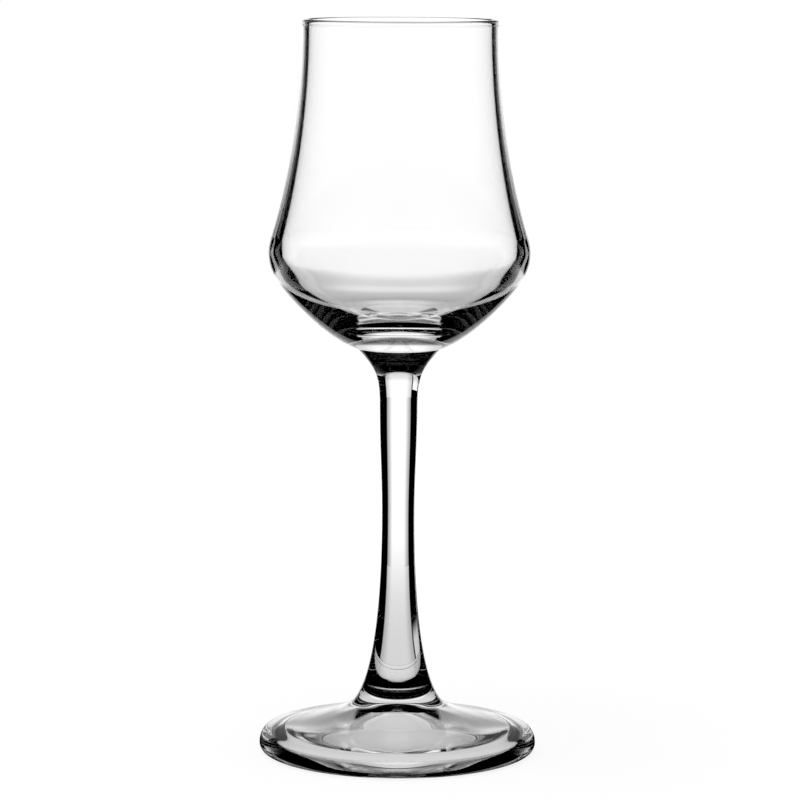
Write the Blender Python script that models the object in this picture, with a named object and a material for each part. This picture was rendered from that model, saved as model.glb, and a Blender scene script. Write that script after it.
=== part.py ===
"""Stemmed grappa glass in clear glass.

Three turned pieces stand on one another along +Z: a pressed foot with a bell-shaped hollow underneath, a
drawn stem that flares at both ends, and a blown bowl with a low belly, a narrow chimney and a wall that
thickens from the rim down. On the real glass they are fused hot at two flat joints. The origin is the centre
of the foot on the table. Units are metres.
"""
import math

import bmesh
import bpy

# Foot: a disc with a rounded edge, standing on a narrow flat ring close to that edge
FOOT_DIAMETER = 0.0642
FOOT_EDGE_LOWER = 0.0017
FOOT_EDGE_UPPER = 0.0032
FOOT_SHOULDER_INSET = 0.0020
FOOT_SHOULDER_SLOPE = math.radians(12.7)
FOOT_CROWN_RISE = 0.0055
FOOT_CROWN_SLOPE = math.radians(24.4)
FOOT_UNDERCUT = 0.0017
REST_RING_WIDTH = 0.0009

# Hollow under the foot: a steep wall inside the ring, a shallow cone, and a bell up to the crown
RING_WALL_WIDTH = 0.0037
RING_WALL_RISE = 0.0027
RING_WALL_SLOPE = math.radians(22.9)
CONE_RISE = 0.0031
CONE_SLOPE = math.radians(8.0)
BELL_DIAMETER = 0.0220
BELL_SLOPE = math.radians(14.5)
CROWN_THICKNESS = 0.0007

# Stem: a slim shank that widens into a flare at each end
STEM_LENGTH = 0.0831
STEM_WAIST_DIAMETER = 0.0076
STEM_WAIST_RISE = 0.0446
STEM_NECK_DIAMETER = 0.0088
STEM_TOP_FLARE_LENGTH = 0.0129
STEM_TOP_FLARE_SLOPE = math.radians(48.5)
STEM_FOOT_FLARE_SLOPE = math.radians(33.9)

# Bowl: a chimney over a round belly, with a beaded lip and a wall that thickens from the rim down
BOWL_HEIGHT = 0.0751
RIM_DIAMETER = 0.0448
RIM_WALL = 0.0013
RIM_BEAD = 0.00012
RIM_BEAD_DEPTH = 0.0022
CHIMNEY_LEAN = math.radians(17.4)
BELLY_DIAMETER = 0.0601
BELLY_RISE = 0.0218
BELLY_WALL = 0.0027
BELLY_ARC_RADIUS = 0.0107
BELLY_ARC_SWEEP = math.radians(28.7)
BASE_THICKNESS = 0.0023
BASE_SLOPE = math.radians(15.9)

# Fused joints: each pair of pieces shares one diameter and keeps a hairline between its flat faces
BOWL_JOINT_DIAMETER = 0.0192
FOOT_JOINT_DIAMETER = 0.0224
JOINT_GAP = 0.0003

# Fullness of the curves: how far a handle reaches, as a share of the length that its curve spans
EVEN_REACH = 1 / 3
ROUND_REACH = 0.55
EDGE_SHOULDER_REACH = 0.73
EDGE_SIDE_REACH = 0.47
BEAD_REACH = 0.50
BELL_FOOT_REACH = 0.59
BELL_TOP_REACH = 0.30
SHANK_REACH = 0.35
TOP_FLARE_REACH = 1.15
FOOT_FLARE_REACH = 0.65
CHIMNEY_RIM_REACH = 0.48
CHIMNEY_BELLY_REACH = 0.17
CAVITY_SIDE_REACH = 0.52
CAVITY_FLOOR_REACH = 0.20
BASE_BELLY_REACH = 0.20
BASE_JOINT_REACH = 0.28

# Mesh fineness: turning steps round the axis and points along each curve
TURN_STEPS = 48
CURVE_STEPS = 8
ARC_STEPS = 4
MERGE_DISTANCE = 0.00001
SHARP_ANGLE = math.radians(40.0)

# Clear, faintly cool glass
GLASS_COLOUR = (0.96, 0.98, 0.98, 1.0)
GLASS_ROUGHNESS = 0.02
GLASS_IOR = 1.52


def ahead(point, angle, distance):
    """Return the point that lies a distance away, at an angle from the outward radius."""
    radius, height = point
    return radius + distance * math.cos(angle), height + distance * math.sin(angle)


def curve(start, start_handle, end_handle, end, steps=CURVE_STEPS):
    """Sample a cubic curve, without its first point."""
    points = []
    for step in range(1, steps + 1):
        t = step / steps
        weights = ((1 - t) ** 3, 3 * t * (1 - t) ** 2, 3 * t ** 2 * (1 - t), t ** 3)
        corners = (start, start_handle, end_handle, end)
        points.append(tuple(sum(w * c[axis] for w, c in zip(weights, corners)) for axis in (0, 1)))
    return points


def slope_curve(start, start_angle, end, end_angle, steps=CURVE_STEPS):
    """Sample a curve that leaves and arrives at given angles, without its first point."""
    reach = EVEN_REACH * abs(end[0] - start[0])
    return curve(start, ahead(start, start_angle, reach), ahead(end, end_angle, reach), end, steps)


def arc(centre, radius, start_angle, end_angle, steps=ARC_STEPS):
    """Sample a circular arc, without its first point."""
    turn = (end_angle - start_angle) / steps
    return [ahead(centre, start_angle + turn * step, radius) for step in range(1, steps + 1)]


def hollow_outline(ring_inside, crown_height):
    """Underside from the inner edge of the rest ring up to the top of the bell."""
    wall_top = (ring_inside[0] - RING_WALL_WIDTH, RING_WALL_RISE)
    bell_foot = (BELL_DIAMETER / 2, wall_top[1] + CONE_RISE)
    bell_top = (0.0, crown_height - CROWN_THICKNESS)
    outline = slope_curve(ring_inside, math.pi - RING_WALL_SLOPE, wall_top, -CONE_SLOPE)
    outline += slope_curve(wall_top, math.pi - CONE_SLOPE, bell_foot, -BELL_SLOPE, ARC_STEPS)
    outline += curve(bell_foot, ahead(bell_foot, math.pi - BELL_SLOPE, BELL_FOOT_REACH * bell_foot[0]),
                     (BELL_TOP_REACH * bell_foot[0], bell_top[1]), bell_top)
    return outline


def foot_outline():
    """Outline from the crown's centre, over the top and the edge, to the top of the hollow underneath."""
    edge_radius = FOOT_DIAMETER / 2
    shoulder = (edge_radius - FOOT_SHOULDER_INSET, FOOT_EDGE_LOWER + FOOT_EDGE_UPPER)
    crown = (FOOT_JOINT_DIAMETER / 2, shoulder[1] + FOOT_CROWN_RISE)
    widest = (edge_radius, FOOT_EDGE_LOWER)
    ring_outside = (edge_radius - FOOT_UNDERCUT, 0.0)
    ring_inside = (ring_outside[0] - REST_RING_WIDTH, 0.0)
    outline = [(0.0, crown[1]), crown]
    outline += slope_curve(crown, -FOOT_CROWN_SLOPE, shoulder, math.pi - FOOT_SHOULDER_SLOPE)
    shoulder_reach = EDGE_SHOULDER_REACH * FOOT_SHOULDER_INSET
    outline += curve(shoulder, ahead(shoulder, -FOOT_SHOULDER_SLOPE, shoulder_reach),
                     (edge_radius, widest[1] + EDGE_SIDE_REACH * FOOT_EDGE_UPPER), widest)
    outline += curve(widest, (edge_radius, widest[1] - ROUND_REACH * FOOT_EDGE_LOWER),
                     (ring_outside[0] + ROUND_REACH * FOOT_UNDERCUT, 0.0), ring_outside, ARC_STEPS)
    outline.append(ring_inside)
    return outline + hollow_outline(ring_inside, crown[1])


def stem_outline():
    """Outline from the top face, down both flares and the shank, to the bottom face."""
    top = (BOWL_JOINT_DIAMETER / 2, STEM_LENGTH)
    neck = (STEM_NECK_DIAMETER / 2, STEM_LENGTH - STEM_TOP_FLARE_LENGTH)
    waist = (STEM_WAIST_DIAMETER / 2, STEM_WAIST_RISE)
    bottom = (FOOT_JOINT_DIAMETER / 2, 0.0)
    neck_reach = ROUND_REACH * STEM_TOP_FLARE_LENGTH
    shank_reach = SHANK_REACH * (neck[1] - waist[1])
    top_reach = TOP_FLARE_REACH * (top[0] - neck[0])
    bottom_reach = FOOT_FLARE_REACH * (bottom[0] - waist[0])
    outline = [(0.0, STEM_LENGTH), top]
    outline += curve(top, ahead(top, math.pi + STEM_TOP_FLARE_SLOPE, top_reach),
                     (neck[0], neck[1] + neck_reach), neck)
    outline += curve(neck, (neck[0], neck[1] - shank_reach), (waist[0], waist[1] + shank_reach), waist,
                     ARC_STEPS)
    outline += curve(waist, (waist[0], SHANK_REACH * waist[1]),
                     ahead(bottom, math.pi - STEM_FOOT_FLARE_SLOPE, bottom_reach), bottom,
                     CURVE_STEPS + ARC_STEPS)
    outline.append((0.0, 0.0))
    return outline


def bead_curve(lip_side, wall_side):
    """Sample the swelling of the fire-polished lip from the lip down to the wall, without its first point."""
    drop = BEAD_REACH * (lip_side[1] - wall_side[1])
    return curve(lip_side, (lip_side[0], lip_side[1] - drop), (wall_side[0], wall_side[1] + drop), wall_side,
                 ARC_STEPS)


def bowl_outline():
    """Outline from the floor of the cavity, up the inside, over the lip and down the outside to the joint."""
    rim = (RIM_DIAMETER / 2, BOWL_HEIGHT - RIM_BEAD_DEPTH)
    arc_centre = (BELLY_DIAMETER / 2 - BELLY_ARC_RADIUS, BELLY_RISE)
    shoulder = ahead(arc_centre, CHIMNEY_LEAN, BELLY_ARC_RADIUS)
    chimney_span = rim[1] - shoulder[1]
    wall = [rim]
    wall += curve(rim, (rim[0], rim[1] - CHIMNEY_RIM_REACH * chimney_span),
                  ahead(shoulder, math.pi / 2 + CHIMNEY_LEAN, CHIMNEY_BELLY_REACH * chimney_span), shoulder)
    wall += arc(arc_centre, BELLY_ARC_RADIUS, CHIMNEY_LEAN, 0.0)

    thickening = (BELLY_WALL - RIM_WALL) / (rim[1] - BELLY_RISE) ** 2
    inside = [(radius - RIM_WALL - thickening * (rim[1] - height) ** 2, height) for radius, height in wall]
    floor = (0.0, BASE_THICKNESS)
    widest_inside = inside[-1]
    drop = CAVITY_SIDE_REACH * (widest_inside[1] - BASE_THICKNESS)
    inward = 2 * thickening * (rim[1] - BELLY_RISE) * drop
    cavity = curve(widest_inside, (widest_inside[0] - inward, widest_inside[1] - drop),
                   (CAVITY_FLOOR_REACH * widest_inside[0], BASE_THICKNESS), floor)

    lip_radius = RIM_WALL / 2 + RIM_BEAD
    lip_centre = (rim[0] - RIM_WALL / 2, BOWL_HEIGHT - lip_radius)
    lip_outside = ahead(lip_centre, 0.0, lip_radius)
    lip_inside = ahead(lip_centre, math.pi, lip_radius)
    bead_outside = bead_curve(lip_outside, rim)
    bead_inside = bead_curve(lip_inside, inside[0])
    lip = [lip_inside] + arc(lip_centre, lip_radius, math.pi, 0.0)

    joint = (BOWL_JOINT_DIAMETER / 2, 0.0)
    below_belly = arc(arc_centre, BELLY_ARC_RADIUS, 0.0, -BELLY_ARC_SWEEP)
    base_start = below_belly[-1]
    base_length = math.dist(base_start, joint)
    leaving = -math.pi / 2 - BELLY_ARC_SWEEP
    base = curve(base_start, ahead(base_start, leaving, BASE_BELLY_REACH * base_length),
                 ahead(joint, BASE_SLOPE, BASE_JOINT_REACH * base_length), joint)
    rising = cavity[::-1] + inside[::-1] + bead_inside[-2::-1]
    falling = bead_outside + wall[1:] + below_belly + base
    return rising + lip + falling + [(0.0, 0.0)]


def clear_glass(name):
    """Make a clear glass material."""
    material = bpy.data.materials.new(name)
    material.use_nodes = True
    shader = material.node_tree.nodes["Principled BSDF"]
    shader.inputs["Base Color"].default_value = GLASS_COLOUR
    shader.inputs["Roughness"].default_value = GLASS_ROUGHNESS
    shader.inputs["Metallic"].default_value = 0.0
    shader.inputs["IOR"].default_value = GLASS_IOR
    shader.inputs["Transmission Weight"].default_value = 1.0
    return material


def turned_piece(name, outline, base_height, parent):
    """Turn an outline of (radius, height) points about +Z and set the piece at its height on the axis."""
    shape = bmesh.new()
    points = [shape.verts.new((radius, 0.0, height)) for radius, height in outline]
    edges = [shape.edges.new(pair) for pair in zip(points, points[1:])]
    bmesh.ops.spin(shape, geom=points + edges, cent=(0, 0, 0), axis=(0, 0, 1), angle=2 * math.pi,
                   steps=TURN_STEPS, use_merge=True)
    bmesh.ops.remove_doubles(shape, verts=shape.verts, dist=MERGE_DISTANCE)
    bmesh.ops.recalc_face_normals(shape, faces=shape.faces)
    mesh = bpy.data.meshes.new(name)
    shape.to_mesh(mesh)
    shape.free()
    mesh.shade_smooth()
    mesh.set_sharp_from_angle(angle=SHARP_ANGLE)
    mesh.materials.append(clear_glass(name + "_glass"))
    piece = bpy.data.objects.new(name, mesh)
    piece.parent = parent
    piece.location.z = base_height
    bpy.context.scene.collection.objects.link(piece)
    return piece


def build():
    """Clear the scene and stack the three pieces on the table."""
    for old in list(bpy.data.objects):
        bpy.data.objects.remove(old, do_unlink=True)
    glass = bpy.data.objects.new("grappa_glass", None)
    bpy.context.scene.collection.objects.link(glass)
    stem_base = FOOT_EDGE_LOWER + FOOT_EDGE_UPPER + FOOT_CROWN_RISE + JOINT_GAP
    bowl_base = stem_base + STEM_LENGTH + JOINT_GAP
    turned_piece("foot", foot_outline(), 0.0, glass)
    turned_piece("stem", stem_outline(), stem_base, glass)
    turned_piece("bowl", bowl_outline(), bowl_base, glass)
    print(f"glass height {1000 * (bowl_base + BOWL_HEIGHT):.1f} mm")


build()
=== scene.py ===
# %% [markdown]
# A stemmed grappa glass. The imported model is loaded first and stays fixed: it says where the bowl, the stem and
# the foot are. Each of the three is then made again as a finer surface, in the same place, and gets clear glass.
# Glass shows only what lies behind and around it, so the last steps build a studio for it to bend and mirror.

# %% Load the frame
import math

import bpy
import numpy as np
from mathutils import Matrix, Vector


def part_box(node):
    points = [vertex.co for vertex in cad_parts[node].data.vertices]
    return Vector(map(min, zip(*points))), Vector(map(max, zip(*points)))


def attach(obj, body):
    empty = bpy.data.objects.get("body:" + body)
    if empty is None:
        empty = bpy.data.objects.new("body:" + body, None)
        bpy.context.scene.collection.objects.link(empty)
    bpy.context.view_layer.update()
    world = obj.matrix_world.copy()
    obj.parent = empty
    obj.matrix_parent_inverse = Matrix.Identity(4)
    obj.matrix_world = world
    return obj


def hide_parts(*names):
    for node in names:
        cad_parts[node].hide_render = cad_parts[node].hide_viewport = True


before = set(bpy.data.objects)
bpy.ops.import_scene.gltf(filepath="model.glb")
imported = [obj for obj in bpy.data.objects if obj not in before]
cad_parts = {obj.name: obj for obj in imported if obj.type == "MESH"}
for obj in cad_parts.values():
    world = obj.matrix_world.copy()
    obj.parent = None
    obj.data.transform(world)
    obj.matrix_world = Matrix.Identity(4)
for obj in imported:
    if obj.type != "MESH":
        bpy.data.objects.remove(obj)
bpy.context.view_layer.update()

foot_low, foot_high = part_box("foot")
stem_low, stem_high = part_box("stem")
bowl_low, bowl_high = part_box("bowl")
FOOT_JOINT = (foot_high.z + stem_low.z) / 2
BOWL_JOINT = (stem_high.z + bowl_low.z) / 2
print(f"joints at {1000 * FOOT_JOINT:.2f} and {1000 * BOWL_JOINT:.2f} mm, rim at {1000 * bowl_high.z:.1f} mm")

# %% [markdown]
# Every piece is turned, so it is a profile of (radius, height) points carried round the axis. A profile is
# joined from cubic curves and arcs, each worked out as one array. A Screw modifier could do the turning, but an
# array of rings also lets hot glass keep its faint waves, which a lathe would make perfectly round.

# %% Profile curves
CURVE_STEPS = 60
ARC_STEPS = 30
BEAD_STEPS = 20
LONG_STEPS = 120
EVEN_REACH = 1 / 3
ROUND_REACH = 0.55


def polar(point, angle, distance):
    """The point at a distance from another, at an angle from the outward radius."""
    return np.array(point) + distance * np.array([math.cos(angle), math.sin(angle)])


def cubic(start, start_handle, end_handle, end, steps=CURVE_STEPS):
    """Cubic curve: the four corners weighted by (1-t)^3, 3t(1-t)^2, 3t^2(1-t) and t^3, for t from 0 to 1."""
    t = np.linspace(0.0, 1.0, steps + 1)[:, None]
    corners = [np.array(corner, float) for corner in (start, start_handle, end_handle, end)]
    weights = [(1 - t) ** 3, 3 * t * (1 - t) ** 2, 3 * t ** 2 * (1 - t), t ** 3]
    return sum(weight * corner for weight, corner in zip(weights, corners))


def sloped(start, start_angle, end, end_angle):
    """Cubic curve that leaves and arrives at given angles, with handles a third of its width long."""
    reach = EVEN_REACH * abs(end[0] - start[0])
    return cubic(start, polar(start, start_angle, reach), polar(end, end_angle, reach), end)


def arc(centre, radius, start_angle, end_angle, steps=ARC_STEPS):
    """Circular arc: centre + radius * (cos a, sin a), for a from one angle to the other."""
    angles = np.linspace(start_angle, end_angle, steps + 1)
    return np.array(centre) + radius * np.stack([np.cos(angles), np.sin(angles)], axis=1)


def chain(*runs):
    """Runs end to end as one profile, each without the point that it shares with the run before."""
    return np.concatenate([runs[0]] + [run[1:] for run in runs[1:]])


print(f"each curve has {CURVE_STEPS} steps")

# %% [markdown]
# Hot glass is never perfectly round. Blowing, drawing and pressing leave waves up to about a hundredth of a
# millimetre high, too low to see as shape, but each one bends the light and breaks up the reflections. They are
# added along the profile's normal, as a few cosines round the axis and along the profile, and die away at the
# axis and at the joints, where two pieces have to meet.

# %% Waves in the hot glass
AXIS_EASE = 0.004
JOINT_EASE = 0.004


def ease(distance, width):
    """Smooth step: 3u^2 - 2u^3 with u the distance over the width, held between 0 and 1."""
    share = np.clip(distance / width, 0.0, 1.0)
    return share * share * (3 - 2 * share)


def normals(profile):
    """Unit normals of a profile, out of the glass: its direction turned by a quarter."""
    along = np.gradient(profile, axis=0)
    return np.stack([-along[:, 1], along[:, 0]], axis=1) / np.hypot(*along.T)[:, None]


def waves(profile, angle, joint_heights, cosines):
    """Offsets by profile point and angle a: the sum of size * cos(turns * a + 2 pi * way / length + start).

    The way is measured along the profile. Each cosine is (size, turns, length, start).
    """
    way = np.concatenate([[0.0], np.cumsum(np.hypot(*np.diff(profile, axis=0).T))])[:, None]
    offset = sum(size * np.cos(turns * angle[None, :] + 2 * math.pi * way / length + start)
                 for size, turns, length, start in cosines)
    calm = ease(profile[:, 0], AXIS_EASE)
    for joint_height in joint_heights:
        calm = calm * ease(np.abs(profile[:, 1] - joint_height), JOINT_EASE)
    return offset * calm[:, None]


print(f"waves die away within {1000 * AXIS_EASE:.0f} mm of the axis and {1000 * JOINT_EASE:.0f} mm of a joint")

# %% [markdown]
# Turning a profile: its first and last points lie on the axis and become one vertex each, and all the points
# between become rings. The flat faces where two pieces are fused get a second material slot, because light
# passes them without a bend: there is no surface inside one body of glass.

# %% Turn a profile into a piece
TURN_STEPS = 160
SAME_HEIGHT = 1e-7


def turned_faces(rows):
    """Quads between neighbouring rings, then a fan of triangles round each pole, as three arrays."""
    row, column = np.meshgrid(np.arange(rows - 1), np.arange(TURN_STEPS), indexing="ij")
    here, below = row * TURN_STEPS + column, (row + 1) * TURN_STEPS + column
    beside = (column + 1) % TURN_STEPS - column
    quads = np.stack([here, below, below + beside, here + beside], axis=2).reshape(-1, 4)
    first_ring = np.arange(TURN_STEPS)
    last_ring = first_ring + (rows - 1) * TURN_STEPS
    first_pole = np.full(TURN_STEPS, rows * TURN_STEPS)
    start_fan = np.stack([first_pole, first_ring, np.roll(first_ring, -1)], axis=1)
    end_fan = np.stack([last_ring, first_pole + 1, np.roll(last_ring, -1)], axis=1)
    return quads, start_fan, end_fan


def mark_fused(mesh, heights, joint_heights):
    """Give faces that lie at a joint height the second slot, with a sharp edge round them."""
    flat = np.zeros(len(heights), bool)
    for joint_height in joint_heights:
        flat |= np.abs(heights - joint_height) < SAME_HEIGHT
    fused = np.array([flat[list(face.vertices)].all() for face in mesh.polygons])
    mesh.polygons.foreach_set("material_index", fused.astype(np.int32))
    inner, outer = np.zeros(len(heights), bool), np.zeros(len(heights), bool)
    for face, is_fused in zip(mesh.polygons, fused):
        (inner if is_fused else outer)[list(face.vertices)] = True
    edges = np.empty(2 * len(mesh.edges), np.int32)
    mesh.edges.foreach_get("vertices", edges)
    mesh.edges.foreach_set("use_edge_sharp", (inner & outer)[edges.reshape(-1, 2)].all(axis=1))
    return int(fused.sum())


def turned(name, profile, joint_heights, cosines):
    """Carry a profile round +Z: (r cos a, r sin a, z) for every profile point and angle a, plus its waves."""
    angle = np.arange(TURN_STEPS) * 2 * math.pi / TURN_STEPS
    normal = normals(profile)
    offset = waves(profile, angle, joint_heights, cosines)
    radius = profile[:, :1] + offset * normal[:, :1]
    height = profile[:, 1:] + offset * normal[:, 1:]
    rings = np.stack([radius * np.cos(angle), radius * np.sin(angle), height], axis=2)
    poles = [[0.0, 0.0, profile[0, 1]], [0.0, 0.0, profile[-1, 1]]]
    points = np.concatenate([rings[1:-1].reshape(-1, 3), poles])
    faces = [list(face) for run in turned_faces(len(profile) - 2) for face in run.tolist()]
    mesh = bpy.data.meshes.new(name)
    mesh.from_pydata(points.tolist(), [], faces)
    mesh.shade_smooth()
    fused = mark_fused(mesh, points[:, 2], joint_heights)
    mesh.update()
    piece = bpy.data.objects.new(name, mesh)
    bpy.context.scene.collection.objects.link(piece)
    print(f"{name}: {len(profile)} profile points, {len(faces)} faces, {fused} of them fused,",
          f"waves up to {1000 * np.abs(offset).max():.3f} mm")
    return piece


# %% [markdown]
# The foot is pressed: a disc with a rolled edge that stands on a narrow flat ring. Under it a steep wall rises
# inside the ring, then a shallow cone, then a bell that reaches up into the crown. Their slopes decide what the
# foot shows. The bell is steep enough to be looked through to the table, so it reads as a pale dome under a dark
# arch. The flatter cone mirrors the light back up, so the sides of the foot show the backdrop instead.

# %% Foot
FOOT_RADIUS = foot_high.x
FOOT_JOINT_RADIUS = 0.0112
EDGE_LOWER = 0.0017
EDGE_UPPER = 0.0032
SHOULDER_INSET = 0.0020
SHOULDER_SLOPE = math.radians(12.7)
CROWN_SLOPE = math.radians(24.4)
UNDERCUT = 0.0017
RING_WIDTH = 0.00206
RING_WALL_WIDTH = 0.0030
RING_WALL_RISE = 0.00226
RING_WALL_SLOPE = math.radians(27.6)
CONE_RISE = 0.00236
CONE_SLOPE = math.radians(7.4)
BELL_RADIUS = 0.01378
BELL_SLOPE = math.radians(14.1)
CROWN_THICKNESS = 0.00107
EDGE_SHOULDER_REACH = 0.73
EDGE_SIDE_REACH = 0.47
BELL_FOOT_REACH = 0.576
BELL_TOP_REACH = 0.198
FLAT_STEPS = 5
FOOT_WAVES = ((0.000006, 2, 0.021, 0.4), (0.000004, 5, 0.013, 2.0))


def foot_profile():
    """Fused face, top, rolled edge, rest ring, ring wall, cone and bell, from pole to pole."""
    crown = (FOOT_JOINT_RADIUS, FOOT_JOINT)
    shoulder = (FOOT_RADIUS - SHOULDER_INSET, EDGE_LOWER + EDGE_UPPER)
    widest = (FOOT_RADIUS, EDGE_LOWER)
    ring_outside = (FOOT_RADIUS - UNDERCUT, 0.0)
    ring_inside = (ring_outside[0] - RING_WIDTH, 0.0)
    wall_top = (ring_inside[0] - RING_WALL_WIDTH, RING_WALL_RISE)
    bell_foot = (BELL_RADIUS, RING_WALL_RISE + CONE_RISE)
    bell_top = (0.0, foot_high.z - CROWN_THICKNESS)
    fused = np.linspace((0.0, FOOT_JOINT), crown, FLAT_STEPS)
    top = sloped(crown, -CROWN_SLOPE, shoulder, math.pi - SHOULDER_SLOPE)
    roll = cubic(shoulder, polar(shoulder, -SHOULDER_SLOPE, EDGE_SHOULDER_REACH * SHOULDER_INSET),
                 (FOOT_RADIUS, EDGE_LOWER + EDGE_SIDE_REACH * EDGE_UPPER), widest)
    under = cubic(widest, (FOOT_RADIUS, EDGE_LOWER * (1 - ROUND_REACH)),
                  (ring_outside[0] + ROUND_REACH * UNDERCUT, 0.0), ring_outside)
    ring = np.linspace(ring_outside, ring_inside, FLAT_STEPS)
    wall = sloped(ring_inside, math.pi - RING_WALL_SLOPE, wall_top, -CONE_SLOPE)
    cone = sloped(wall_top, math.pi - CONE_SLOPE, bell_foot, -BELL_SLOPE)
    bell = cubic(bell_foot, polar(bell_foot, math.pi - BELL_SLOPE, BELL_FOOT_REACH * BELL_RADIUS),
                 (BELL_TOP_REACH * BELL_RADIUS, bell_top[1]), bell_top)
    return chain(fused, top, roll, under, ring, wall, cone, bell)


foot = turned("pressed_foot", foot_profile(), [FOOT_JOINT], FOOT_WAVES)
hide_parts("foot")
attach(foot, "root")

# %% [markdown]
# The stem is drawn out of the hot glass: a slim shank, a short flare under the bowl and a long one down to the
# foot. Drawing stretches every flaw, so its waves are many times longer than they are wide. Where it is fused to
# the foot, a shallow groove and a few fading rings run round it and break the light into thin bands.

# %% Stem
BOWL_JOINT_RADIUS = 0.0096
WAIST_RADIUS = 0.0038
WAIST_RISE = 0.0446
NECK_RADIUS = 0.0044
TOP_FLARE_LENGTH = 0.0129
TOP_FLARE_SLOPE = math.radians(48.5)
FOOT_FLARE_SLOPE = math.radians(33.9)
SHANK_REACH = 0.35
TOP_FLARE_REACH = 1.15
FOOT_FLARE_REACH = 0.65
RIPPLE_SIZE = 0.000035
RIPPLE_LENGTH = 0.0024
RIPPLE_REACH = 0.005
STEM_WAVES = ((0.000012, 2, 0.19, 0.3), (0.000005, 3, 0.08, 1.1))


def rippled(run):
    """A run with rings near its end: -size * sin(2 pi * way / length) along the normal, fading with the way."""
    steps = np.hypot(*np.diff(run, axis=0).T)
    way = np.concatenate([np.cumsum(steps[::-1])[::-1], [0.0]])
    height = -RIPPLE_SIZE * np.sin(2 * math.pi * way / RIPPLE_LENGTH) * (1 - ease(way, RIPPLE_REACH))
    return run + normals(run) * height[:, None]


def stem_profile():
    """Fused face, top flare, neck, waist, foot flare and fused face, from pole to pole."""
    top = (BOWL_JOINT_RADIUS, BOWL_JOINT)
    neck = (NECK_RADIUS, stem_high.z - TOP_FLARE_LENGTH)
    waist = (WAIST_RADIUS, stem_low.z + WAIST_RISE)
    bottom = (FOOT_JOINT_RADIUS, FOOT_JOINT)
    shank_reach = SHANK_REACH * (neck[1] - waist[1])
    upper = cubic(top, polar(top, math.pi + TOP_FLARE_SLOPE, TOP_FLARE_REACH * (top[0] - neck[0])),
                  (neck[0], neck[1] + ROUND_REACH * TOP_FLARE_LENGTH), neck)
    shank = cubic(neck, (neck[0], neck[1] - shank_reach), (waist[0], waist[1] + shank_reach), waist)
    lower = cubic(waist, (waist[0], stem_low.z + SHANK_REACH * WAIST_RISE),
                  polar(bottom, math.pi - FOOT_FLARE_SLOPE, FOOT_FLARE_REACH * (bottom[0] - waist[0])),
                  bottom, LONG_STEPS)
    top_face = np.linspace((0.0, BOWL_JOINT), top, FLAT_STEPS)
    bottom_face = np.linspace(bottom, (0.0, FOOT_JOINT), FLAT_STEPS)
    return chain(top_face, upper, shank, rippled(lower), bottom_face)


stem = turned("drawn_stem", stem_profile(), [BOWL_JOINT, FOOT_JOINT], STEM_WAVES)
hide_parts("stem")
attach(stem, "root")

# %% [markdown]
# The bowl is blown: a chimney leans out to a low belly, and the wall thickens from the rim down, slowly at first
# and faster near the belly, as hot glass sags. The cut edge is melted round in a flame, which leaves a very
# slight bead. Below the belly the cavity narrows in one curve to a rounded corner, and a second curve closes its
# floor over a thick base, which shows as a dark wedge at each side.

# %% Bowl
RIM_RADIUS = 0.0224
RIM_WALL = 0.00155
RIM_BEAD = 0.00003
RIM_BEAD_DEPTH = 0.0016
CHIMNEY_LEAN = math.radians(17.4)
BELLY_RADIUS = bowl_high.x
BELLY_RISE = 0.0218
BELLY_WALL = 0.0029
THICKENING = 2.5
BELLY_ARC_RADIUS = 0.0107
BELLY_ARC_SWEEP = math.radians(28.7)
BASE_THICKNESS = 0.0074
BASE_SLOPE = math.radians(15.9)
BEAD_REACH = 0.50
CHIMNEY_RIM_REACH = 0.48
CHIMNEY_BELLY_REACH = 0.17
CORNER_RADIUS = 0.0186
CORNER_RISE = 0.0105
CORNER_SLOPE = math.radians(37.0)
CAVITY_SIDE_REACH = 0.40
CORNER_SIDE_REACH = 0.41
CORNER_FLOOR_REACH = 0.40
FLOOR_FLAT = 0.57
BASE_BELLY_REACH = 0.20
BASE_JOINT_REACH = 0.28
BOWL_WAVES = ((0.000006, 2, 0.090, 0.0), (0.000002, 3, 0.050, 1.0))


def bead(lip_side, wall_side):
    """Swelling of the fire-polished lip, from the lip down to the wall."""
    drop = BEAD_REACH * (lip_side[1] - wall_side[1])
    return cubic(lip_side, (lip_side[0], lip_side[1] - drop), (wall_side[0], wall_side[1] + drop), wall_side,
                 BEAD_STEPS)


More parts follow.
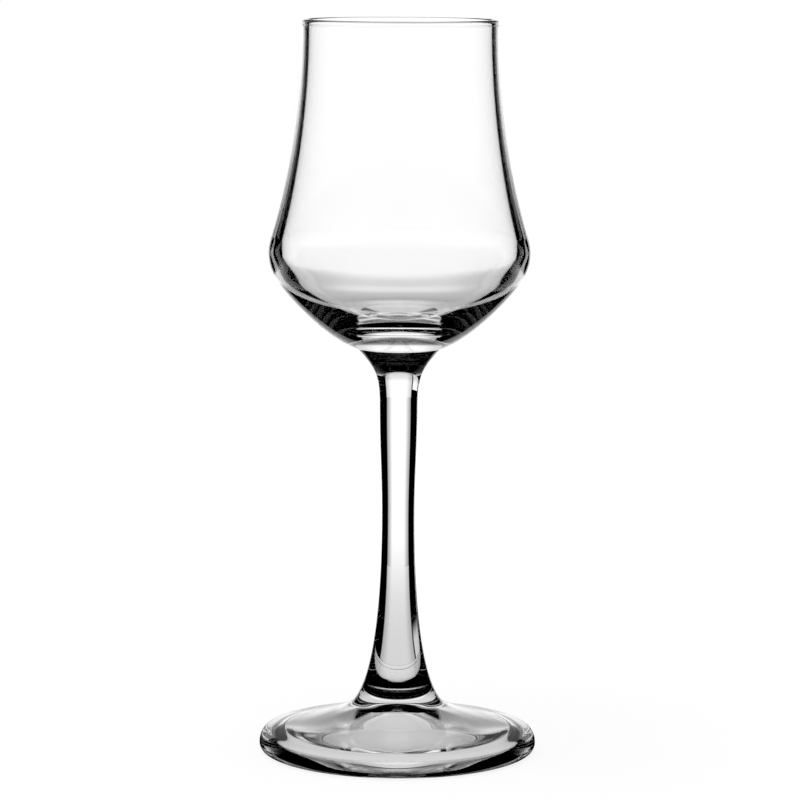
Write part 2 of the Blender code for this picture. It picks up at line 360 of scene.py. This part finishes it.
def bowl_profile():
    """Cavity floor, inner wall, lip, outer wall, belly, base and fused face, from pole to pole."""
    rim = (RIM_RADIUS, bowl_high.z - RIM_BEAD_DEPTH)
    belly_height = bowl_low.z + BELLY_RISE
    arc_centre = (BELLY_RADIUS - BELLY_ARC_RADIUS, belly_height)
    shoulder = polar(arc_centre, CHIMNEY_LEAN, BELLY_ARC_RADIUS)
    span = rim[1] - shoulder[1]
    chimney = cubic(rim, (rim[0], rim[1] - CHIMNEY_RIM_REACH * span),
                    polar(shoulder, math.pi / 2 + CHIMNEY_LEAN, CHIMNEY_BELLY_REACH * span), shoulder)
    outside = chain(chimney, arc(arc_centre, BELLY_ARC_RADIUS, CHIMNEY_LEAN, 0.0))

    depth = rim[1] - belly_height
    inside = outside.copy()
    inside[:, 0] -= RIM_WALL + (BELLY_WALL - RIM_WALL) * ((rim[1] - outside[:, 1]) / depth) ** THICKENING
    widest = inside[-1]
    corner = (CORNER_RADIUS, bowl_low.z + CORNER_RISE)
    floor_height = bowl_low.z + BASE_THICKNESS
    drop = CAVITY_SIDE_REACH * (widest[1] - corner[1])
    inward = THICKENING * (BELLY_WALL - RIM_WALL) / depth * drop
    side = cubic(widest, (widest[0] - inward, widest[1] - drop),
                 polar(corner, CORNER_SLOPE, CORNER_SIDE_REACH * (widest[0] - corner[0])), corner)
    bottom = cubic(corner, polar(corner, math.pi + CORNER_SLOPE, CORNER_FLOOR_REACH * corner[0]),
                   (FLOOR_FLAT * corner[0], floor_height), (0.0, floor_height))
    cavity = chain(side, bottom)

    lip_radius = RIM_WALL / 2 + RIM_BEAD
    lip_centre = (rim[0] - RIM_WALL / 2, bowl_high.z - lip_radius)
    lip = arc(lip_centre, lip_radius, math.pi, 0.0)
    bead_inside = bead(lip[0], inside[0])[::-1]
    bead_outside = bead(lip[-1], rim)

    below_belly = arc(arc_centre, BELLY_ARC_RADIUS, 0.0, -BELLY_ARC_SWEEP)
    start, joint = below_belly[-1], (BOWL_JOINT_RADIUS, BOWL_JOINT)
    length = math.dist(start, joint)
    base = cubic(start, polar(start, -math.pi / 2 - BELLY_ARC_SWEEP, BASE_BELLY_REACH * length),
                 polar(joint, BASE_SLOPE, BASE_JOINT_REACH * length), joint)
    fused = np.linspace(joint, (0.0, BOWL_JOINT), FLAT_STEPS)
    return chain(cavity[::-1], inside[::-1], bead_inside, lip, bead_outside, outside, below_belly, base, fused)


bowl = turned("blown_bowl", bowl_profile(), [BOWL_JOINT], BOWL_WAVES)
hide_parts("bowl")
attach(bowl, "root")

# %% [markdown]
# Glass bends light the right way only if every face points outwards, and a closed surface with outward faces
# encloses a positive volume: the sum of the tetrahedra from the origin to each triangle.

# %% Check that faces point outwards
for piece in (foot, stem, bowl):
    corners = np.empty(3 * len(piece.data.vertices))
    piece.data.vertices.foreach_get("co", corners)
    piece.data.calc_loop_triangles()
    triangles = np.empty(3 * len(piece.data.loop_triangles), np.int32)
    piece.data.loop_triangles.foreach_get("vertices", triangles)
    a, b, c = corners.reshape(-1, 3)[triangles.reshape(-1, 3)].transpose(1, 0, 2)
    volume = np.einsum("ij,ij->i", a, np.cross(b, c)).sum() / 6
    print(f"{piece.name}: {1e6 * volume:.2f} ml of glass, {len(a)} triangles")

# %% [markdown]
# Shader maths reads best as Python. This class wraps one output of a node, and each operator adds a Math node.


# %% Sockets as numbers
class Wire:
    """A node's output that can stand in an expression."""

    def __init__(self, tree, socket):
        self.tree = tree
        self.socket = socket

    @classmethod
    def node(cls, tree, kind, settings, values, output=0):
        """Add a node: its settings first, then a number or a wire for each input, and return one output."""
        made = tree.nodes.new(kind)
        for name, setting in settings.items():
            setattr(made, name, setting)
        for key, value in values.items():
            if isinstance(value, cls):
                tree.links.new(value.socket, made.inputs[key])
            else:
                made.inputs[key].default_value = value
        return cls(tree, made.outputs[output])

    def maths(self, operation, *values):
        """Add a Math node with these values."""
        return Wire.node(self.tree, "ShaderNodeMath", {"operation": operation}, dict(enumerate(values)))

    def __add__(self, other):
        return self.maths("ADD", self, other)

    def __radd__(self, other):
        return self.maths("ADD", other, self)

    def __sub__(self, other):
        return self.maths("SUBTRACT", self, other)

    def __rsub__(self, other):
        return self.maths("SUBTRACT", other, self)

    def __mul__(self, other):
        return self.maths("MULTIPLY", self, other)

    def __rmul__(self, other):
        return self.maths("MULTIPLY", other, self)

    def __abs__(self):
        return self.maths("ABSOLUTE", self)

    def above(self, level):
        """One where the value is over a level, else zero."""
        return self.maths("GREATER_THAN", self, level)

    def larger(self, other):
        """The larger of two values."""
        return self.maths("MAXIMUM", self, other)

    def ramp(self, start, end, low, high):
        """Ease from low at start to high at end."""
        return Wire.node(self.tree, "ShaderNodeMapRange", {"interpolation_type": "SMOOTHSTEP"},
                         {"Value": self, "From Min": start, "From Max": end, "To Min": low, "To Max": high})

    def parts(self):
        """The three numbers of a vector."""
        split = self.tree.nodes.new("ShaderNodeSeparateXYZ")
        self.tree.links.new(self.socket, split.inputs[0])
        return [Wire(self.tree, socket) for socket in split.outputs]


def new_material(name):
    """An empty material, its node tree and its output node."""
    material = bpy.data.materials.new(name)
    material.use_nodes = True
    tree = material.node_tree
    tree.nodes.clear()
    return material, tree, tree.nodes.new("ShaderNodeOutputMaterial")


print("sockets can be added, subtracted and multiplied")

# %% [markdown]
# Clear glass is almost nothing but its surface. Three faint things keep it from looking computed: the melt is
# a little cooler in tint in places, the fire polish is not equally fine everywhere, and cords, streaks of glass
# that mixed badly, run the way the piece was worked: round the blown bowl, along the drawn stem and outwards in
# the pressed foot. Cords are a bump on noise that is stretched along that way.

# %% Clear glass
GLASS_IOR = 1.52
PALE_TINT = (0.994, 0.994, 0.995, 1.0)
COOL_TINT = (0.986, 0.985, 0.990, 1.0)
TINT_SCALE = 45.0
TINT_DETAIL = 2.0
POLISH_SCALE = 160.0
POLISH_DETAIL = 3.0
POLISH_BLUR = (0.5, 0.8)
POLISH_ROUGHNESS = 0.006
CORD_HEIGHT = 0.0000005
CORD_DETAIL = 1.0
MIX_FACTOR, MIX_FIRST, MIX_SECOND, MIX_COLOUR = 0, 6, 7, 2


def clear_glass(name, cord_stretch):
    """Clear glass whose cords are noise on Object coordinates, scaled by cord_stretch along X, Y and Z."""
    material, tree, output = new_material(name)
    place = Wire.node(tree, "ShaderNodeTexCoord", {}, {}, "Object")
    melt = Wire.node(tree, "ShaderNodeTexNoise", {},
                     {"Vector": place, "Scale": TINT_SCALE, "Detail": TINT_DETAIL})
    tint = Wire.node(tree, "ShaderNodeMix", {"data_type": "RGBA"},
                     {MIX_FACTOR: melt, MIX_FIRST: PALE_TINT, MIX_SECOND: COOL_TINT}, MIX_COLOUR)
    polish = Wire.node(tree, "ShaderNodeTexNoise", {},
                       {"Vector": place, "Scale": POLISH_SCALE, "Detail": POLISH_DETAIL})
    stretched = Wire.node(tree, "ShaderNodeMapping", {}, {"Vector": place, "Scale": cord_stretch})
    cords = Wire.node(tree, "ShaderNodeTexNoise", {}, {"Vector": stretched, "Scale": 1.0, "Detail": CORD_DETAIL})
    bump = Wire.node(tree, "ShaderNodeBump", {}, {"Height": cords, "Distance": CORD_HEIGHT})
    glass = Wire.node(tree, "ShaderNodeBsdfPrincipled", {}, {
        "Base Color": tint,
        "Roughness": polish.ramp(*POLISH_BLUR, 0.0, POLISH_ROUGHNESS),
        "Normal": bump,
        "IOR": GLASS_IOR,
        "Transmission Weight": 1.0,
    })
    tree.links.new(glass.socket, output.inputs["Surface"])
    return material


def fused_joint(name):
    """The face where two pieces are fused into one body: light passes straight through it."""
    material, tree, output = new_material(name)
    clear = Wire.node(tree, "ShaderNodeBsdfTransparent", {}, {})
    tree.links.new(clear.socket, output.inputs["Surface"])
    return material


joint_material = fused_joint("fused_joint")
CORDS = {"foot_glass": (foot, (90.0, 90.0, 60.0)), "stem_glass": (stem, (380.0, 380.0, 12.0)),
         "bowl_glass": (bowl, (40.0, 40.0, 260.0))}
for slot, (piece, cord_stretch) in CORDS.items():
    piece.data.materials.append(clear_glass(slot + "_clear", cord_stretch))
    piece.data.materials.append(joint_material)
print(f"clear glass of index {GLASS_IOR} on {len(CORDS)} pieces")

# %% [markdown]
# The photographer stood close to the table's level and looked slightly down. The camera's distance and height
# were found from the ellipses of the rim and the foot, and a small roll from the tilt of the stem.

# %% Camera
CAMERA_DISTANCE = 0.8266
CAMERA_HEIGHT = 0.1902
CAMERA_SIDE = -0.00024
AIM_HEIGHT = 0.0819
PICTURE_ANGLE = math.radians(12.62)
CAMERA_ROLL = math.radians(0.27)
camera = bpy.data.objects.new("camera", bpy.data.cameras.new("camera"))
camera.data.angle = PICTURE_ANGLE
camera.location = (CAMERA_SIDE, -CAMERA_DISTANCE, CAMERA_HEIGHT)
tilt = math.atan2(CAMERA_HEIGHT - AIM_HEIGHT, CAMERA_DISTANCE)
camera.rotation_mode = "XYZ"
camera.rotation_euler = (math.pi / 2 - tilt, -CAMERA_ROLL, 0.0)
bpy.context.scene.collection.objects.link(camera)
bpy.context.scene.camera = camera
print(f"camera looks down by {math.degrees(tilt):.2f} degrees")

# %% [markdown]
# Clear glass on white is drawn by its dark edges: rays that bend far miss the white backdrop and meet the dark
# room. So the studio is white only behind the glass, with smaller openings at the directions of other views, for
# rays that were bent but not mirrored. The high one starts above a sill on the card, to clear the bowl's mouth as
# seen from above, and on the floor it lights only the table near the foot and far off. Rays that crossed both
# walls of the bowl hardly bend, and may pass everywhere, so the bowl stays white and only its edges turn dark.
# Light Path tells these rays apart. A real studio can't, so this belongs to the picture and not to the glass.

# %% Where the studio is open
OPENING_SOFT = (12.0, 27.0)
OPENING_DIM = 0.65
OPENING_EDGE = (27.0, 29.0)
SIDE_OPENINGS = ((-90.0, 22.0), (135.0, 22.0))
HIGH_OPENING = (-45.0, 12.0)
HIGH_SILL = 0.087
HIGH_REACH = (0.055, 0.085)
HIGH_START = 0.30
SIDE_SOFTNESS = 3.0
CARD_RADIUS = 0.19
TWO_WALLS = 3.5
MIRRORED = 0.5


def two_walls(tree):
    """One for rays that crossed both walls of the bowl, else zero."""
    return Wire.node(tree, "ShaderNodeLightPath", {}, {}, "Transmission Depth").above(TWO_WALLS)


def unmirrored(tree):
    """One for rays that were only bent on their way, zero for those that were mirrored inside the glass."""
    return 1.0 - Wire.node(tree, "ShaderNodeLightPath", {}, {}, "Glossy Depth").above(MIRRORED)


def opening(tree, x, y, high):
    """How open the studio is at a place, from 0 to 1, by the angle round the glass from straight behind it."""
    azimuth = x.maths("ARCTAN2", x, y) * math.degrees(1.0)
    aside = abs(azimuth)
    light = aside.ramp(*OPENING_SOFT, 1.0, OPENING_DIM) * aside.ramp(*OPENING_EDGE, 1.0, 0.0)
    for (middle, half), share in [*((side, 1.0) for side in SIDE_OPENINGS), (HIGH_OPENING, high)]:
        turned_by = abs(x.maths("WRAP", azimuth - middle, 180.0, -180.0))
        light = light.larger(turned_by.ramp(half, half + SIDE_SOFTNESS, 1.0, 0.0) * unmirrored(tree) * share)
    return light.larger(two_walls(tree))


print(f"the studio opens {OPENING_EDGE[1]} degrees to each side behind the glass")

# %% [markdown]
# The floor is a pale disc. Seen directly it is nearly white and takes the glass's soft shadow. Seen through the
# glass it is a painted glow, darker close by and white further off. A painted dark ring lies just round the foot,
# which keeps the foot's edge dark, and a painted pool of light lies under the foot for rays that were only bent.
# Rays through both walls of the bowl see a painted darker band, which gives the lower bowl its soft grey.

# %% Studio floor
FLOOR_RADIUS = 1.0
FLOOR_DROP = 0.0002
FLOOR_SIDES = 96
FLOOR_NEAR = 0.74
FLOOR_FAR = 1.15
FLOOR_EVEN_RADIUS = 0.06
FLOOR_WHITE_RADIUS = 0.30
FLOOR_GLOW = (0.86, 1.0)
FLOOR_PAINT = 0.16
# Painted light and shade on the floor for rays from the glass: a painted pool of light under the foot, a painted
# dark ring round it, and a painted darker band for rays through both walls of the bowl.
PAINTED_POOL_EDGE = (0.0293, 0.0307)
PAINTED_POOL_TURN = (-0.004, 0.004)
PAINTED_POOL_BACK = 0.0035
PAINTED_RING_EDGE = (0.037, 0.040)
PAINTED_BAND_START = (0.10, 0.14)
PAINTED_BAND_END = (0.27, 0.38)
PAINTED_BAND_DARK = 0.38


def floor_disc():
    """Flat disc: (r cos a, r sin a) a hair below the rest ring, as one face."""
    angle = np.arange(FLOOR_SIDES) * 2 * math.pi / FLOOR_SIDES
    points = np.stack([FLOOR_RADIUS * np.cos(angle), FLOOR_RADIUS * np.sin(angle), 0 * angle - FLOOR_DROP],
                      axis=1)
    mesh = bpy.data.meshes.new("studio_floor")
    mesh.from_pydata(points.tolist(), [], [list(range(FLOOR_SIDES))])
    piece = bpy.data.objects.new("studio_floor", mesh)
    bpy.context.scene.collection.objects.link(piece)
    return piece


def floor_material():
    """Pale paint for the camera, and for rays that left the glass a painted glow that rises outwards, with
    painted light and shade near the foot.
    """
    material, tree, output = new_material("studio_floor")
    place = Wire.node(tree, "ShaderNodeTexCoord", {}, {}, "Object")
    away = Wire.node(tree, "ShaderNodeVectorMath", {"operation": "LENGTH"}, {0: place}, "Value")
    x, y, _ = place.parts()
    high = away.ramp(*HIGH_REACH, 1.0, 0.0).larger(away.above(HIGH_START))
    # Painted dark ring round the foot, painted pool of light under it, and painted darker band for rays through
    # both walls of the bowl.
    behind = opening(tree, x, y, high) * away.ramp(*PAINTED_RING_EDGE, 0.0, 1.0)
    inside = away - y.ramp(*PAINTED_POOL_TURN, 0.0, PAINTED_POOL_BACK)
    painted_light = behind.larger(inside.ramp(*PAINTED_POOL_EDGE, 1.0, 0.0) * unmirrored(tree))
    shade = away.ramp(FLOOR_EVEN_RADIUS, FLOOR_WHITE_RADIUS, FLOOR_NEAR, FLOOR_FAR) * painted_light
    painted_band = away.ramp(*PAINTED_BAND_START, 0.0, PAINTED_BAND_DARK) * away.ramp(*PAINTED_BAND_END, 1.0, 0.0)
    shade = shade * (1.0 - two_walls(tree) * painted_band)
    through_glass = Wire.node(tree, "ShaderNodeEmission", {}, {"Strength": shade})
    bright = away.ramp(FLOOR_EVEN_RADIUS, FLOOR_WHITE_RADIUS, *FLOOR_GLOW)
    glow = Wire.node(tree, "ShaderNodeEmission", {}, {"Strength": bright})
    paint = Wire.node(tree, "ShaderNodeBsdfDiffuse", {}, {"Color": (FLOOR_PAINT, FLOOR_PAINT, FLOOR_PAINT, 1.0)})
    direct = Wire.node(tree, "ShaderNodeAddShader", {}, {0: glow, 1: paint})
    seen = Wire.node(tree, "ShaderNodeLightPath", {}, {}, "Is Camera Ray")
    both = Wire.node(tree, "ShaderNodeMixShader", {}, {0: seen, 1: through_glass, 2: direct})
    tree.links.new(both.socket, output.inputs["Surface"])
    return material


floor = floor_disc()
floor.data.materials.append(floor_material())
print(f"floor of {FLOOR_RADIUS} m radius, {FLOOR_NEAR} bright under the glass and {FLOOR_FAR} far off")

# %% [markdown]
# Black card stands round the glass, as a photographer would set it, with the studio's openings cut out.

# %% Black card round the glass
CARD_HEIGHT = 0.40
CARD_SIDES = 96


def card_ring():
    """Upright ring: (r cos a, r sin a) at the floor and at the card's height, joined by quads."""
    angle = np.arange(CARD_SIDES) * 2 * math.pi / CARD_SIDES
    low = np.stack([CARD_RADIUS * np.cos(angle), CARD_RADIUS * np.sin(angle), 0 * angle], axis=1)
    column = np.arange(CARD_SIDES)
    beside = np.roll(column, -1)
    faces = np.stack([column, beside, beside + CARD_SIDES, column + CARD_SIDES], axis=1)
    mesh = bpy.data.meshes.new("black_card")
    mesh.from_pydata(np.concatenate([low, low + [0, 0, CARD_HEIGHT]]).tolist(), [], faces.tolist())
    piece = bpy.data.objects.new("black_card", mesh)
    piece.visible_camera = False
    piece.visible_shadow = False
    piece.visible_diffuse = False
    bpy.context.scene.collection.objects.link(piece)
    return piece


def card_material():
    """Black where the card is and clear in its openings."""
    material, tree, output = new_material("black_card")
    x, y, z = Wire.node(tree, "ShaderNodeTexCoord", {}, {}, "Object").parts()
    dark = 1.0 - opening(tree, x, y, z.above(HIGH_SILL))
    clear = Wire.node(tree, "ShaderNodeBsdfTransparent", {}, {})
    black = Wire.node(tree, "ShaderNodeEmission", {}, {"Strength": 0.0})
    both = Wire.node(tree, "ShaderNodeMixShader", {}, {0: dark, 1: clear, 2: black})
    tree.links.new(both.socket, output.inputs["Surface"])
    return material


card = card_ring()
card.data.materials.append(card_material())
print(f"black card {CARD_HEIGHT} m tall with {2 + len(SIDE_OPENINGS)} openings")

# %% [markdown]
# The world is the white backdrop. The camera sees plain white. Rays that were only bent see nearly white far up
# towards the ceiling, and rays that were mirrored inside the glass see it fade lower down, so that the foot keeps
# some grey. The strength just over one makes up for what the walls of the glass reflect away.

# %% World
BACKDROP_STRENGTH = 1.15
BENT_TOP = (8.0, 20.0)
BENT_SHARE = 0.85
BENT_CEILING = (60.0, 75.0)
MIRROR_TOP = (6.0, 16.0)
MIRROR_SHARE = 0.30
MIRROR_CEILING = (24.0, 34.0)
DIFFUSE_LEVEL = 0.35


def sines(elevations):
    """Heights of directions at these elevations in degrees."""
    return [math.sin(math.radians(elevation)) for elevation in elevations]


def studio_world():
    """White for the camera, dim for painted surfaces, and a backdrop that ends overhead for glass."""
    world = bpy.data.worlds.new("studio")
    bpy.context.scene.world = world
    world.use_nodes = True
    tree = world.node_tree
    tree.nodes.clear()
    output = tree.nodes.new("ShaderNodeOutputWorld")
    _, _, z = Wire.node(tree, "ShaderNodeTexCoord", {}, {}, "Generated").parts()
    bent = z.ramp(*sines(BENT_TOP), BACKDROP_STRENGTH, BENT_SHARE) * z.ramp(*sines(BENT_CEILING), 1.0, 0.0)
    turned_back = (z.ramp(*sines(MIRROR_TOP), BACKDROP_STRENGTH, MIRROR_SHARE)
                   * z.ramp(*sines(MIRROR_CEILING), 1.0, 0.0))
    plain = unmirrored(tree)
    backdrop = bent * plain + turned_back * (1.0 - plain)
    camera_ray = Wire.node(tree, "ShaderNodeLightPath", {}, {}, "Is Camera Ray")
    diffuse_ray = Wire.node(tree, "ShaderNodeLightPath", {}, {}, "Is Diffuse Ray")
    level = backdrop * (1.0 - diffuse_ray) + diffuse_ray * DIFFUSE_LEVEL
    level = level * (1.0 - camera_ray) + camera_ray
    sky = Wire.node(tree, "ShaderNodeBackground", {}, {"Color": (1.0, 1.0, 1.0, 1.0), "Strength": level})
    tree.links.new(sky.socket, output.inputs["Surface"])


studio_world()
print(f"bent rays see white up to {BENT_TOP[0]} degrees, mirrored rays up to {MIRROR_TOP[0]} degrees")

# %% [markdown]
# One large soft lamp overhead lights the floor, so that the glass keeps a faint shadow. Glass doesn't see it.

# %% Soft lamp
LAMP_SIZE = 0.8
LAMP_POWER = 6.0
LAMP_PLACE = (-0.15, -0.10, 0.90)
lamp = bpy.data.objects.new("soft_lamp", bpy.data.lights.new("soft_lamp", "AREA"))
lamp.data.size = LAMP_SIZE
lamp.data.energy = LAMP_POWER
lamp.location = LAMP_PLACE
lamp.visible_glossy = False
lamp.visible_transmission = False
bpy.context.scene.collection.objects.link(lamp)
print(f"lamp of {LAMP_POWER} W at {LAMP_PLACE}")

# %% [markdown]
# A ray can be mirrored many times inside the base and the foot before it leaves, so the paths are long.

# %% Light paths and view
LONG_PATH = 32
GLOSSY_PATH = 16
scene = bpy.context.scene
scene.cycles.max_bounces = LONG_PATH
scene.cycles.transmission_bounces = LONG_PATH
scene.cycles.transparent_max_bounces = LONG_PATH
scene.cycles.glossy_bounces = GLOSSY_PATH
scene.view_settings.view_transform = "Standard"
print(f"paths of up to {LONG_PATH} bounces")
